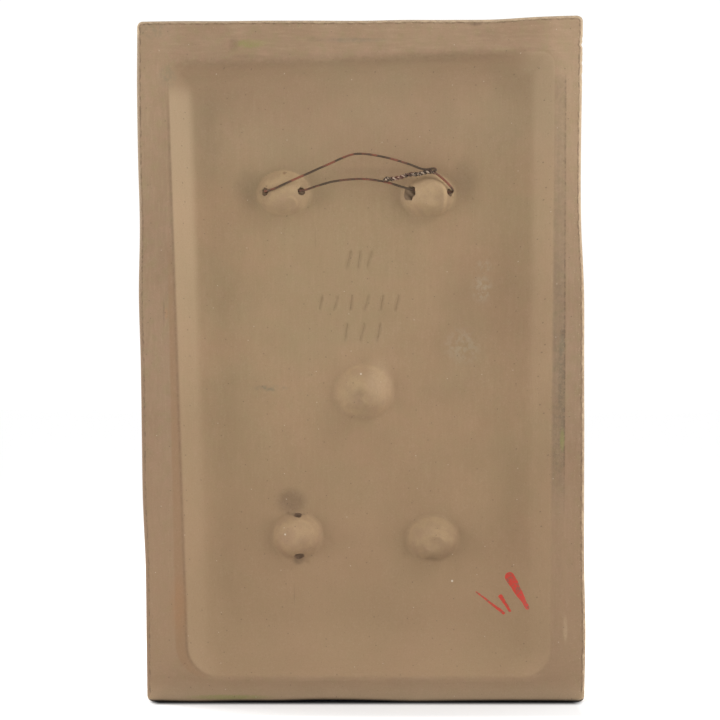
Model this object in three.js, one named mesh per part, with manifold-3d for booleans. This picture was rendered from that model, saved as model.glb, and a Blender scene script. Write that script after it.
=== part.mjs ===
// A hand-pressed stoneware wall plaque with its hanging wire.
//
// The plaque is one fired-clay slab with a raised rim around a hollow back. Five rolled balls of
// clay are luted into the hollow: the two upper ones are pierced sideways for the wire, the lower
// left one is pierced upwards, and the others are plain. The wire is one length of soft iron, laced
// through both upper bosses, with its two ends twisted together.
//
// Millimetres, +z up. The rim's back lies on the wall plane y = 0 and the front faces +y. The origin
// is on that plane, where a hook under the crest of the wire goes into the wall.

import * as THREE from "three";
import { mergeVertices } from "three/addons/utils/BufferGeometryUtils.js";
import Module from "manifold-3d";

const wasm = await Module();
wasm.setup();

// The slab. Corners run clockwise as seen from the back, from the upper left, as [x, z].
const SLAB_CORNERS = [
  [-112.4, 66.0],
  [110.9, 69.2],
  [111.6, -274.4],
  [-107.2, -274.2],
];
const SLAB_CORNER_RADII = [4, 4, 4, 4];
const SLAB_THICKNESS = 24;
const BACK_ARRIS = 1.8;
const FRONT_ARRIS = 3.2;
const ARRIS_STEPS = 3;
// How far the knife wandered outwards from each straight side: top, right, bottom, left.
const SLAB_WANDER = [
  [0, -0.3, -0.4, -0.7, -1.1, -1.0, -1.3, -1.4, -0.4],
  [-0.5, -1.1, -1.1, 0.3, 0.3, 0.3, 0.1, 0.1, 0.7],
  [-0.1, -0.1, 0.1, 0.3, -0.3, -0.6, 0, 0.1, 0.5],
  [0, -0.1, 0.8, 0.8, 0.8, 1.2, 0.2, 0.6, 0.6],
];

// The hollow back: a faint shoulder on the rim, its arris, and the floor that the cove runs into.
const HOLLOW_DEPTH = 13;
const SHOULDER_DROP = 0.7;
const SHOULDER_CORNERS = [
  [-98.9, 46.6],
  [102.2, 52.4],
  [101.0, -263.0],
  [-92.4, -262.8],
];
const ARRIS_CORNERS = [
  [-97.0, 45.4],
  [97.0, 51.2],
  [94.4, -262.0],
  [-86.5, -261.6],
];
const FLOOR_CORNERS = [
  [-82.0, 37.5],
  [85.0, 43.0],
  [82.5, -238.0],
  [-72.0, -237.5],
];
const SHOULDER_RADII = [10, 8, 16, 17];
const ARRIS_RADII = [7, 7, 14, 15];
const FLOOR_RADII = [9, 9, 14, 14];
const HOLLOW_ARC_STEPS = 5;
const TOP_SAG = [-0.5, -1.0, -0.7, 0.5, 0.6];
const STRAIGHT = [0, 0, 0, 0, 0];
const FLOOR_RIGHT_BOW = [-4, -9, -7, -2, 0];
const FLOOR_LEFT_BOW = [-4, -3.5, -7, -3.5, 1];
const COVE_POWER = 1.8;
const COVE_STEPS = [0.15, 0.32, 0.52, 0.74, 1];

// The bosses, as rolled balls pressed onto the floor, each a little wider than it is tall. width
// and tall are half sizes, and flat is the share of them that the flattened tip takes.
const BOSSES = [
  { x: -39.4, z: -19.3, width: 13.9, tall: 11.8, height: 10.5, flat: 0.1 },
  { x: 33.8, z: -20.3, width: 13.5, tall: 11.4, height: 10.5, flat: 0.2 },
  { x: 1.3, z: -119.4, width: 15, tall: 14.5, height: 8, flat: 0 },
  { x: -32.5, z: -191.9, width: 12.5, tall: 12, height: 9.5, flat: 0.15 },
  { x: 35.9, z: -193.3, width: 12.8, tall: 11.4, height: 9, flat: 0.15 },
];
const BOSS_SINK = 1.5;
const BOSS_POWER = 2.2;
const BOSS_RINGS = 6;
const BOSS_SEGMENTS = 28;

// Holes pushed through the bosses with a tapered stick, from one mouth to the other.
const HOLES = [
  { from: [-49.4, 6.5, -18.9], to: [-29.6, 6.5, -18.6], radii: [1.6, 1.6], flares: [2.4, 2.2] },
  { from: [23.0, 7.3, -19.3], to: [45.4, 8.4, -19.1], radii: [3.0, 1.5], flares: [3.5, 2.0] },
  { from: [-32.0, 10.4, -181], to: [-31.2, 9.8, -203], radii: [1.7, 2.0], flares: [1.9, 2.6] },
];
const HOLE_OVERRUN = 4;
const HOLE_SEGMENTS = 12;

// Shallow impressed strokes on the floor, as rows of [x of the first, z, pitch, lean of each].
const STROKE_ROWS = [
  { x: -6.4, z: -52.5, pitch: 5.2, length: 9, leans: [14, 8, 19] },
  { x: -20.6, z: -74.6, pitch: 7.7, length: 8, leans: [12, 17, 8, 18, 11, 15] },
  { x: -7.8, z: -89.4, pitch: 8.2, length: 9.5, leans: [9, 16, 12] },
];
const STROKE_WIDTH = 1.5;
const STROKE_DEPTH = 0.6;

// The front: a plain border around a sunk field with one upright sprig in low relief.
const BORDER = 17;
const FIELD_DEPTH = 2.6;
const FIELD_BEVEL = 2.4;
const FIELD_RADII = [9, 9, 9, 9];
const SPRIG_FOOT = -232;
const SPRIG_TOP = -12;
const STEM_RADIUS = 3.4;
const STEM_RISE = 2.1;
const LEAF_PAIRS = 5;
const LEAF_LENGTH = 66;
const LEAF_WIDTH = 25;
const LEAF_RISE = 2.3;
const LEAF_TILT = 0.82;
const TIP_LEAF_SCALE = 0.8;
const TIP_LEAF_LAP = 6;
const TOP_PAIR_SCALE = 0.74;
const LOWEST_PAIR = 0.16;
const HIGHEST_PAIR = 0.86;

// The wire. The route starts in the twist, crosses to the left boss, goes through it, comes back
// to the right boss, goes through that, and rises over its shoulder into the twist again.
const WIRE_RADIUS = 0.55;
const WIRE_SIDES = 8;
const WIRE_STEPS = 92;
const WIRE_ROUTE = [
  [34.6, 5.3, -8.9],
  [31.3, 5.1, -7.7],
  [23.8, 4.9, -5.1],
  [12.8, 4.8, -1.9],
  [1.2, 4.8, 0],
  [-5.0, 4.8, -0.4],
  [-17.4, 4.4, -5.6],
  [-28.0, 3.5, -10.4],
  [-36.0, 2.3, -14.0],
  [-40.0, 1.95, -15.9],
  [-43.4, 2.1, -17.4],
  [-46.6, 3.4, -18.4],
  [-48.5, 4.8, -18.8],
  [-48.2, 6.3, -18.9],
  [-46.0, 6.75, -18.8],
  [-40.0, 6.6, -18.8],
  [-33.6, 6.5, -18.6],
  [-28.6, 6.4, -18.1],
  [-22.0, 6.1, -15.9],
  [-13.3, 6.2, -13.6],
  [1.2, 6.4, -12.5],
  [12.8, 6.6, -14.2],
  [20.6, 6.5, -16.5],
  [26.0, 6.9, -17.9],
  [35.0, 7.7, -18.7],
  [42.0, 8.3, -19.1],
  [45.4, 8.0, -19.1],
  [45.9, 6.6, -18.0],
  [43.4, 5.6, -14.8],
  [40.2, 5.4, -11.6],
  [36.4, 5.3, -9.3],
];

// The twist of the two ends, as the one plain shape around both strands.
const TWIST_RADIUS = 1.2;
const TWIST_STEPS = 10;
const TWIST_ROUTE = [
  [37.2, 5.3, -9.2],
  [33.4, 5.1, -9.0],
  [28.6, 5.0, -10.1],
  [23.6, 5.0, -10.4],
  [19.0, 5.1, -11.9],
  [14.6, 5.1, -12.6],
  [11.0, 5.0, -12.5],
];

// The plaque's points and rings are [x, z] pairs in planes across y.
function at(pair, y) {
  return new THREE.Vector3(pair[0], y, pair[1]);
}

// A four-sided ring with a radius at each corner, each side moved outwards by its own offsets.
function quadRing(corners, radii, arcSteps, wander) {
  const ring = [];
  for (let side = 0; side < 4; side++) {
    const before = new THREE.Vector2(...corners[(side + 3) % 4]);
    const corner = new THREE.Vector2(...corners[side]);
    const after = new THREE.Vector2(...corners[(side + 1) % 4]);
    const along = after.clone().sub(corner).normalize();
    const back = before.clone().sub(corner).normalize();
    const outward = new THREE.Vector2(-along.y, along.x);
    const radius = radii[side];
    const centre = corner.clone().addScaledVector(along, radius).addScaledVector(back, radius);
    for (let step = 0; step <= arcSteps; step++) {
      const angle = ((step / arcSteps) * Math.PI) / 2;
      const point = centre
        .clone()
        .addScaledVector(along, -radius * Math.cos(angle))
        .addScaledVector(back, -radius * Math.sin(angle));
      ring.push([point.x, point.y]);
    }
    const offsets = wander[side];
    offsets.forEach((offset, i) => {
      const share = (i + 1) / (offsets.length + 1);
      const point = corner.clone().lerp(after, share).addScaledVector(outward, offset);
      ring.push([point.x, point.y]);
    });
  }
  return ring;
}

// The same ring as a smooth closed curve, with so many points between each two.
function smoothRing(ring, between) {
  const curve = new THREE.CatmullRomCurve3(ring.map((pair) => at(pair, 0)), true);
  const count = ring.length * between;
  return Array.from({ length: count }, (_, i) => {
    const point = curve.getPoint(i / count);
    return [point.x, point.z];
  });
}

// A ring drawn in by so much all the way round.
function inset(ring, distance) {
  return ring.map((pair, i) => {
    const before = ring[(i + ring.length - 1) % ring.length];
    const after = ring[(i + 1) % ring.length];
    const run = new THREE.Vector2(after[0] - before[0], after[1] - before[1]).normalize();
    return [pair[0] + run.y * distance, pair[1] - run.x * distance];
  });
}

// A closed body through rings of equal length, capped flat at both ends.
function loft(rings) {
  const count = rings[0].length;
  const index = [];
  for (let r = 0; r < rings.length - 1; r++) {
    for (let i = 0; i < count; i++) {
      const a = r * count + i;
      const b = r * count + ((i + 1) % count);
      index.push(a, b, b + count, a, b + count, a + count);
    }
  }
  const cap = (ring, first, turned) => {
    const flat = ring.map((point) => new THREE.Vector2(point.x, point.z));
    for (const face of THREE.ShapeUtils.triangulateShape(flat, [])) {
      const [a, b, c] = turned ? face.toReversed() : face;
      index.push(first + a, first + b, first + c);
    }
  };
  cap(rings[0], 0, false);
  cap(rings.at(-1), (rings.length - 1) * count, true);
  const geometry = new THREE.BufferGeometry();
  const positions = rings.flat().flatMap((point) => point.toArray());
  geometry.setAttribute("position", new THREE.Float32BufferAttribute(positions, 3));
  geometry.setIndex(index);
  return geometry;
}

// A closed geometry as a manifold-3d solid.
function solid(geometry) {
  const bare = geometry.clone();
  bare.deleteAttribute("normal");
  bare.deleteAttribute("uv");
  const merged = mergeVertices(bare, 1e-3);
  return new wasm.Manifold(
    new wasm.Mesh({
      numProp: 3,
      vertProperties: new Float32Array(merged.attributes.position.array),
      triVerts: new Uint32Array(merged.index.array),
    }),
  );
}

// A manifold-3d solid as a geometry with flat shading normals.
function geometryOf(body) {
  const mesh = body.getMesh();
  const geometry = new THREE.BufferGeometry();
  geometry.setAttribute("position", new THREE.BufferAttribute(mesh.vertProperties, 3));
  geometry.setIndex(new THREE.BufferAttribute(mesh.triVerts, 1));
  geometry.computeVertexNormals();
  return geometry;
}

// The slab: its trimmed outline, with a quarter round on the back and front arrises.
function makeSlab() {
  const outline = smoothRing(quadRing(SLAB_CORNERS, SLAB_CORNER_RADII, 2, SLAB_WANDER), 2);
  const rings = [];
  for (let step = 0; step <= ARRIS_STEPS; step++) {
    const angle = ((step / ARRIS_STEPS) * Math.PI) / 2;
    const y = BACK_ARRIS * (1 - Math.cos(angle));
    rings.push(inset(outline, BACK_ARRIS * (1 - Math.sin(angle))).map((pair) => at(pair, y)));
  }
  for (let step = 0; step <= ARRIS_STEPS; step++) {
    const angle = ((step / ARRIS_STEPS) * Math.PI) / 2;
    const y = SLAB_THICKNESS - FRONT_ARRIS * (1 - Math.sin(angle));
    rings.push(inset(outline, FRONT_ARRIS * (1 - Math.cos(angle))).map((pair) => at(pair, y)));
  }
  return solid(loft(rings));
}

// What is pressed out of the back: shoulder, arris, and a cove that flattens into the floor.
function makeHollow() {
  const ring = (corners, radii, sides) => quadRing(corners, radii, HOLLOW_ARC_STEPS, sides);
  const plain = [TOP_SAG, STRAIGHT, STRAIGHT, STRAIGHT];
  const shoulder = ring(SHOULDER_CORNERS, SHOULDER_RADII, plain);
  const arris = ring(ARRIS_CORNERS, ARRIS_RADII, plain);
  const bowed = [TOP_SAG, FLOOR_RIGHT_BOW, STRAIGHT, FLOOR_LEFT_BOW];
  const floor = ring(FLOOR_CORNERS, FLOOR_RADII, bowed);
  const rings = [
    shoulder.map((pair) => at(pair, -SHOULDER_DROP)),
    shoulder.map((pair) => at(pair, 0)),
    arris.map((pair) => at(pair, SHOULDER_DROP)),
  ];
  for (const share of COVE_STEPS) {
    const depth = 1 - (1 - share) ** COVE_POWER;
    const y = SHOULDER_DROP + (HOLLOW_DEPTH - SHOULDER_DROP) * depth;
    rings.push(arris.map((pair, i) => at(pair, y).lerp(at(floor[i], y), share)));
  }
  return solid(loft(rings));
}

// One boss, rising towards the wall from just under the floor.
function makeBoss({ x, z, width, tall, height, flat }) {
  const profile = [new THREE.Vector2(0, -BOSS_SINK), new THREE.Vector2(1, -BOSS_SINK)];
  for (let ring = 0; ring <= BOSS_RINGS; ring++) {
    const share = Math.cos(((ring / BOSS_RINGS) * Math.PI) / 2);
    const reach = flat + (1 - flat) * share;
    profile.push(new THREE.Vector2(reach, height * (1 - share ** BOSS_POWER)));
  }
  if (flat > 0) profile.push(new THREE.Vector2(0, height));
  const geometry = new THREE.LatheGeometry(profile, BOSS_SEGMENTS);
  geometry.scale(width, 1, tall);
  geometry.rotateX(Math.PI);
  geometry.translate(x, HOLLOW_DEPTH, z);
  return solid(geometry);
}

// One tapered hole with its two flared mouths.
function makeHole({ from, to, radii, flares }) {
  const start = new THREE.Vector3(...from);
  const end = new THREE.Vector3(...to);
  const axis = end.clone().sub(start);
  const run = axis.length() + 2 * HOLE_OVERRUN;
  const stick = new THREE.CylinderGeometry(radii[1], radii[0], run, HOLE_SEGMENTS);
  const turn = new THREE.Quaternion().setFromUnitVectors(
    new THREE.Vector3(0, 1, 0),
    axis.clone().normalize(),
  );
  stick.applyQuaternion(turn);
  const middle = start.clone().lerp(end, 0.5);
  stick.translate(middle.x, middle.y, middle.z);
  const mouths = [start, end].map((mouth, i) => {
    const ball = new THREE.SphereGeometry(flares[i], 10, 6);
    ball.translate(mouth.x, mouth.y, mouth.z);
    return solid(ball);
  });
  return mouths.reduce((hole, mouth) => hole.add(mouth), solid(stick));
}

// A boat-shaped dent for each stroke, leaning by so many degrees.
function makeStrokes() {
  return STROKE_ROWS.flatMap(({ x, z, pitch, length, leans }) =>
    leans.map((lean, i) => {
      const dent = new THREE.SphereGeometry(1, 8, 6);
      dent.scale(STROKE_WIDTH / 2, STROKE_DEPTH, length / 2);
      dent.rotateY(THREE.MathUtils.degToRad(lean));
      dent.translate(x + i * pitch, HOLLOW_DEPTH, z);
      return solid(dent);
    }),
  );
}

// The sunk field of the front, inside the plain border.
function makeField() {
  const drawnIn = (by) =>
    SLAB_CORNERS.map(([x, z]) => [x - Math.sign(x) * by, z - Math.sign(z) * by]);
  const plain = [STRAIGHT, STRAIGHT, STRAIGHT, STRAIGHT];
  const ring = (by, y) => quadRing(drawnIn(by), FIELD_RADII, 3, plain).map((pair) => at(pair, y));
  return solid(
    loft([
      ring(BORDER + FIELD_BEVEL, SLAB_THICKNESS - FIELD_DEPTH),
      ring(BORDER, SLAB_THICKNESS),
      ring(BORDER, SLAB_THICKNESS + 1),
    ]),
  );
}

// A pointed leaf of the given scale, lying on the field with its foot at the origin, along +z.
function makeLeaf(scale) {
  const length = LEAF_LENGTH * scale;
  const leaf = new THREE.SphereGeometry(1, 12, 10);
  leaf.rotateX(Math.PI / 2);
  const spots = leaf.attributes.position;
  for (let i = 0; i < spots.count; i++) {
    const along = spots.getZ(i);
    const pinch = Math.sqrt(Math.max(0, 1 - along * along));
    spots.setX(i, spots.getX(i) * pinch);
  }
  leaf.scale((LEAF_WIDTH * scale) / 2, LEAF_RISE, length / 2);
  leaf.translate(0, 0, length / 2);
  return leaf;
}

// The sprig: a tapering stem, pairs of leaves that shorten towards the tip, and one at the tip.
function makeSprig() {
  const ground = SLAB_THICKNESS - FIELD_DEPTH;
  const height = SPRIG_TOP - SPRIG_FOOT;
  const stem = new THREE.CylinderGeometry(STEM_RADIUS / 2, STEM_RADIUS, height, 10);
  stem.rotateX(Math.PI / 2);
  stem.scale(1, STEM_RISE / STEM_RADIUS, 1);
  stem.translate(0, ground, SPRIG_FOOT + height / 2);
  const pieces = [solid(stem)];
  const tip = makeLeaf(TIP_LEAF_SCALE);
  tip.translate(0, ground, SPRIG_TOP - TIP_LEAF_LAP);
  pieces.push(solid(tip));
  for (let pair = 0; pair < LEAF_PAIRS; pair++) {
    const share = pair / (LEAF_PAIRS - 1);
    const z = SPRIG_FOOT + height * THREE.MathUtils.lerp(LOWEST_PAIR, HIGHEST_PAIR, share);
    for (const side of [-1, 1]) {
      const leaf = makeLeaf(THREE.MathUtils.lerp(1, TOP_PAIR_SCALE, share));
      leaf.rotateY(side * LEAF_TILT);
      leaf.translate(side, ground, z);
      pieces.push(solid(leaf));
    }
  }
  return pieces;
}

// A round tube along a route, with flat ends.
function makeTube(route, radius, steps) {
  const curve = new THREE.CatmullRomCurve3(route.map((point) => new THREE.Vector3(...point)));
  const section = new THREE.Shape();
  for (let side = 0; side < WIRE_SIDES; side++) {
    const angle = (side / WIRE_SIDES) * 2 * Math.PI;
    const corner = [radius * Math.cos(angle), radius * Math.sin(angle)];
    if (side === 0) section.moveTo(...corner);
    else section.lineTo(...corner);
  }
  section.closePath();
  const extrusion = new THREE.ExtrudeGeometry(section, { steps, extrudePath: curve });
  return solid(extrusion);
}

function makePlaque() {
  let body = makeSlab().subtract(makeHollow());
  for (const boss of BOSSES) body = body.add(makeBoss(boss));
  for (const hole of HOLES) body = body.subtract(makeHole(hole));
  for (const stroke of makeStrokes()) body = body.subtract(stroke);
  body = body.subtract(makeField());
  for (const piece of makeSprig()) body = body.add(piece);
  return geometryOf(body);
}

function makeWire() {
  const loop = makeTube(WIRE_ROUTE, WIRE_RADIUS, WIRE_STEPS);
  const twist = makeTube(TWIST_ROUTE, TWIST_RADIUS, TWIST_STEPS);
  return geometryOf(loop.add(twist));
}

const clay = new THREE.MeshStandardMaterial({ color: 0xa0866a, roughness: 0.85, metalness: 0 });
const iron = new THREE.MeshStandardMaterial({ color: 0x5a4438, roughness: 0.6, metalness: 0.7 });

const plaque = new THREE.Mesh(makePlaque(), clay);
plaque.name = "plaque";

const wire = new THREE.Mesh(makeWire(), iron);
wire.name = "hanging_wire";

const group = new THREE.Group();
group.add(plaque, wire);

export default group;
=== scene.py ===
import math

import bmesh
import bpy
import numpy as np
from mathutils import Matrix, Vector


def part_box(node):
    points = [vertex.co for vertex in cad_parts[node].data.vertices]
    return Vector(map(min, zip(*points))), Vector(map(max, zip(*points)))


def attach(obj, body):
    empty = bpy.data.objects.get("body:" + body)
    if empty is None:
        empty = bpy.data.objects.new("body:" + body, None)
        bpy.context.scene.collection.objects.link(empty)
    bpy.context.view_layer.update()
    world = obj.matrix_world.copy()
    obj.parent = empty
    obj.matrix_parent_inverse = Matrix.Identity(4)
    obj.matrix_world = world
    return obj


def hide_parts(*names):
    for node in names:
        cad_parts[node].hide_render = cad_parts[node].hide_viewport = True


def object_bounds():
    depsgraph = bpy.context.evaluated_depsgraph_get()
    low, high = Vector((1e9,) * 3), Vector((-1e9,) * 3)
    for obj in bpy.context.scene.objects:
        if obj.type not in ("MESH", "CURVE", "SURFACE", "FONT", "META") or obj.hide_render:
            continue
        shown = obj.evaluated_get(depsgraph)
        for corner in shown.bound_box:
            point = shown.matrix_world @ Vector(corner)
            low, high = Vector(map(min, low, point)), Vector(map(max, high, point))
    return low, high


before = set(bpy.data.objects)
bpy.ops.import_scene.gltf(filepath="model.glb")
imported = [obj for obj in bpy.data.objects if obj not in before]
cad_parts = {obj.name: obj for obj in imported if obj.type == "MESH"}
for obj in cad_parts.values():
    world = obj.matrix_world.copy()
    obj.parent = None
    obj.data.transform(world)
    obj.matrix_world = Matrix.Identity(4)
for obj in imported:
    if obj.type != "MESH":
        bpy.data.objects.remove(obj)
cad_low, cad_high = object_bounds()
# Sizes below are in millimetres unless they say otherwise, and MM turns them into metres.
MM = 0.001


# -------- camera
# The view is square to the back of the plaque and level with its middle, through a long lens.

VIEW_HEIGHT = 360
CAMERA_DISTANCE = 1500
SENSOR_WIDTH = 36
AIM_LEFT = 0.5
AIM_LOW = 0.6


def linked(name, data):
    """A new object with this data, in the scene."""
    made = bpy.data.objects.new(name, data)
    bpy.context.scene.collection.objects.link(made)
    return made


left, back, foot = cad_low
right, _, top = cad_high
camera_data = bpy.data.cameras.new("camera")
camera_data.sensor_width = SENSOR_WIDTH
camera_data.lens = SENSOR_WIDTH * CAMERA_DISTANCE / VIEW_HEIGHT
camera = linked("camera", camera_data)
camera.location = (
    (left + right) / 2 - AIM_LEFT * MM,
    back - CAMERA_DISTANCE * MM,
    (foot + top) / 2 - AIM_LOW * MM,
)
camera.rotation_euler = (math.pi / 2, 0, 0)
bpy.context.scene.camera = camera


# -------- slab
# One slab of buff stoneware, pressed out and trimmed with a knife by hand, so its sides wander
# and its upper right corner stands up. The edge all round the back is rubbed down to an arris.

SLAB_CORNER_RADIUS = 2.9
BACK_ARRIS = 1.8
FRONT_ARRIS = 3.2
# How far the knife wandered outwards from each straight side: top, right, bottom, left.
SLAB_WANDER = [
    [0, -0.3, -0.4, -0.7, -1.1, -1.0, -1.3, -1.4, -0.4],
    [-0.5, -1.1, -1.1, 0.3, 0.3, 0.3, 0.1, 0.1, 0.7],
    [-0.1, -0.1, 0.1, 0.3, -0.3, -0.6, 0, 0.1, 0.5],
    [0, -0.1, 0.8, 0.8, 0.8, 1.2, 0.2, 0.6, 0.6],
]
CRUMBLED_DOWN_TO = 40
CRUMBLE = 0.5
CRUMB_SIZE = 3.5
RIM_UNEVENNESS = 0.12
WAVES = 24
# Distances from an edge that carry its arris, and then how closely the rest is divided, as
# pairs of (distance from the left or the top, spacing up to there).
EDGE_LINES = [0, 0.14, 0.53, 1.1, 1.8, 2.5, 3.2, 4.2]
BACK_COLUMNS = [(12, 2.0), (46, 1.25), (57, 1.6), (90.5, 0.78), (131, 0.62), (161.5, 0.78), (192, 1.7)]
BACK_COLUMNS += [(213, 1.1)]
BACK_ROWS = [(40, 1.5), (71, 1.9), (103, 0.78), (113, 1.6), (164, 1.1), (172, 1.6), (203, 1.15)]
BACK_ROWS += [(246, 1.9), (274, 0.78), (306, 1.9), (332, 1.3)]
LAST_SPACING = 1.6

slab_left, _, slab_foot = (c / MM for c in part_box("plaque")[0])
slab_right, slab_front, slab_top = (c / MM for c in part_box("plaque")[1])
# Corners as (x, z), clockwise from the upper left as the back is seen.
SLAB_CORNERS = [
    (slab_left + 0.4, slab_top - 3.15),
    (slab_right - 1.4, slab_top),
    (slab_right - 0.7, slab_foot + 0.3),
    (slab_left + 5.6, slab_foot + 0.5),
]
slab_width = SLAB_CORNERS[1][0] - SLAB_CORNERS[0][0]
slab_height = SLAB_CORNERS[0][1] - SLAB_CORNERS[3][1]


def along(offsets, share):
    """The offset at a share of a side's length: smooth through the list, nothing at its ends."""
    knots = np.array([0, 0, *offsets, 0, 0], float)
    reached = np.clip(share, 0, 1) * (len(offsets) + 1)
    i = np.minimum(reached.astype(int), len(offsets))
    t = reached - i
    a, b, c, d = (knots[i + k] for k in range(4))
    return b + t * ((c - a) + t * ((2 * a - 5 * b + 4 * c - d) + t * (3 * b - a - 3 * c + d))) / 2


def lumps(x, z, size, seed):
    """Gentle random unevenness of about unit height, its bumps roughly size across."""
    rng = np.random.default_rng(seed)
    total = 0
    for _ in range(WAVES):
        heading, phase = rng.uniform(0, 2 * math.pi, 2)
        rate = 2 * math.pi / size * rng.uniform(0.5, 1.3)
        total = total + np.cos(rate * (math.cos(heading) * x + math.sin(heading) * z) + phase)
    return total / math.sqrt(WAVES / 2)


def grid_lines(length, spans):
    """Distances along a side, close together at the arrises and as the spans ask between."""
    lines = list(EDGE_LINES)
    for end, spacing in [*spans, (length - EDGE_LINES[-1], LAST_SPACING)]:
        steps = max(1, round((end - lines[-1]) / spacing))
        lines.extend(np.linspace(lines[-1], end, steps + 1)[1:])
    lines.extend(length - distance for distance in EDGE_LINES[-2::-1])
    return np.array(lines)


def slab_grid(columns, rows):
    """The x and z of each crossing, bent to the slab's outline, and its distances from the edges."""
    over, down = np.meshgrid(columns, rows)
    from_side = np.minimum(over, slab_width - over)
    from_end = np.minimum(down, slab_height - down)
    reach_x = np.maximum(SLAB_CORNER_RADIUS - from_side, 0)
    reach_z = np.maximum(SLAB_CORNER_RADIUS - from_end, 0)
    rounding = np.maximum(reach_x, reach_z) / np.maximum(np.hypot(reach_x, reach_z), 1e-9)
    rounding = np.where((reach_x > 0) & (reach_z > 0), rounding, 1)
    share_x = (over + np.sign(slab_width / 2 - over) * reach_x * (1 - rounding)) / slab_width
    share_z = (down + np.sign(slab_height / 2 - down) * reach_z * (1 - rounding)) / slab_height
    x, z = (
        (1 - share_z) * (a + (b - a) * share_x) + share_z * (d + (c - d) * share_x)
        for a, b, c, d in zip(*SLAB_CORNERS)
    )
    z = z + (1 - share_z) * along(SLAB_WANDER[0], share_x) - share_z * along(SLAB_WANDER[2], 1 - share_x)
    crumbs = np.clip(1 - down / CRUMBLED_DOWN_TO, 0, 1) * np.maximum(lumps(z, 0 * z, CRUMB_SIZE, 11), 0)
    x = x + share_x * along(SLAB_WANDER[1], share_z) - (1 - share_x) * along(SLAB_WANDER[3], 1 - share_z)
    x = x - share_x**8 * CRUMBLE * crumbs
    return x, z, from_side, from_end


def arris_drop(distance, radius):
    """How far a rounded arris has fallen from its face, so far in from the edge."""
    reach = np.clip(radius - distance, 0, radius)
    return radius - np.sqrt(radius**2 - reach**2)


back_columns = grid_lines(slab_width, BACK_COLUMNS)
back_rows = grid_lines(slab_height, BACK_ROWS)
back_x, back_z, from_side, from_end = slab_grid(back_columns, back_rows)
from_edge = np.minimum(from_side, from_end)
rim_waves = (1 + lumps(back_x, back_z, 26, 3)).clip(0, 2)
rim_depth = arris_drop(from_edge, BACK_ARRIS) + RIM_UNEVENNESS * rim_waves


# -------- hollow back
# The back was pressed hollow while the clay was soft: the rim steps down at a faint shoulder,
# and a cove runs from its arris down to a flat floor that was smoothed by hand.

HOLLOW_DEPTH = 13
SHOULDER_DROP = 0.7
COVE_POWER = 2.3
ARRIS_SOFTNESS = 0.03
LEAST_WIDTH = 0.3
LONG_WAVE = 0.16
SHORT_WAVE = 0.05
FINE_WAVE = 0.02
# How far the top of every ring stands out from straight, and then each ring: its corners clockwise
# from the upper left, their radii, and how far its right and its left side stand out.
TOP_SAG = [-0.5, -1.0, -0.7, 0.5, 0.6]
SHOULDER_RING = (
    [(-98.9, 46.6), (102.2, 52.4), (101, -263), (-92.4, -262.8)],
    (10, 8, 16, 17),
    [],
    [],
)
ARRIS_RING = (
    [(-97, 45.4), (97, 51.2), (94.4, -262), (-86.5, -261.6)],
    (7, 7, 14, 15),
    [],
    [],
)
FLOOR_RING = (
    [(-76, 29), (74, 35), (71, -231), (-67, -231)],
    (9, 9, 14, 14),
    [3, 1, -2, -3, -1],
    [-2, -4, -7, -4, 1],
)


def inward(x, z, ring):
    """How far inside a round-cornered ring each point lies."""
    corners, radii, right_bow, left_bow = ring
    (x0, z0), (x1, z1), (x2, z2), (x3, z3) = corners
    from_top = z0 + (z1 - z0) * (x - x0) / (x1 - x0) - z + along(TOP_SAG, (x - x0) / (x1 - x0))
    from_foot = z - (z3 + (z2 - z3) * (x - x3) / (x2 - x3))
    from_right = x1 + (x2 - x1) * (z1 - z) / (z1 - z2) - x + along(right_bow, (z - z2) / (z1 - z2))
    from_left = x - (x0 + (x3 - x0) * (z0 - z) / (z0 - z3)) + along(left_bow, (z - z3) / (z0 - z3))
    upper = from_top < from_foot
    radius = np.where(
        from_left < from_right,
        np.where(upper, radii[0], radii[3]),
        np.where(upper, radii[1], radii[2]),
    )
    side, end = np.minimum(from_left, from_right), np.minimum(from_top, from_foot)
    rounded = radius - np.hypot(radius - side, radius - end)
    return np.where((side < radius) & (end < radius), rounded, np.minimum(side, end))


def smooth_step(share):
    """A share eased in and out, and kept from 0 to 1."""
    share = np.clip(share, 0, 1)
    return share * share * (3 - 2 * share)


def hollow_depths(x, z):
    """The depth of the hollow below the rim's face, and the share of the cove at each point."""
    inside_shoulder = inward(x, z, SHOULDER_RING)
    inside_arris = inward(x, z, ARRIS_RING)
    outside_floor = -inward(x, z, FLOOR_RING)
    step = inside_shoulder / np.maximum(inside_shoulder - inside_arris, LEAST_WIDTH)
    cove = inside_arris / np.maximum(inside_arris + outside_floor, LEAST_WIDTH)
    cove = np.where(outside_floor <= 0, 1.0, np.clip(cove, 0, 1))
    soft = np.sqrt(cove**2 + ARRIS_SOFTNESS**2) - ARRIS_SOFTNESS
    soft = soft / (math.sqrt(1 + ARRIS_SOFTNESS**2) - ARRIS_SOFTNESS)
    depth = SHOULDER_DROP * smooth_step(step)
    depth = depth + (HOLLOW_DEPTH - SHOULDER_DROP) * (1 - (1 - soft) ** COVE_POWER)
    return depth, cove


hollow_depth, cove_share = hollow_depths(back_x, back_z)
hand_waves = LONG_WAVE * lumps(back_x, back_z, 60, 21) + SHORT_WAVE * lumps(back_x, back_z, 16, 22)
fine_waves = FINE_WAVE * lumps(back_x, back_z, 6, 23)
hollow_depth = hollow_depth + smooth_step(cove_share * 1.5) * hand_waves + fine_waves


# -------- bosses
# Five balls of the same clay, rolled in the palm, set on the floor with slip and pressed down.
# Each has a flat left by a finger, and thumb marks beside it where it was worked in.

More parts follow.
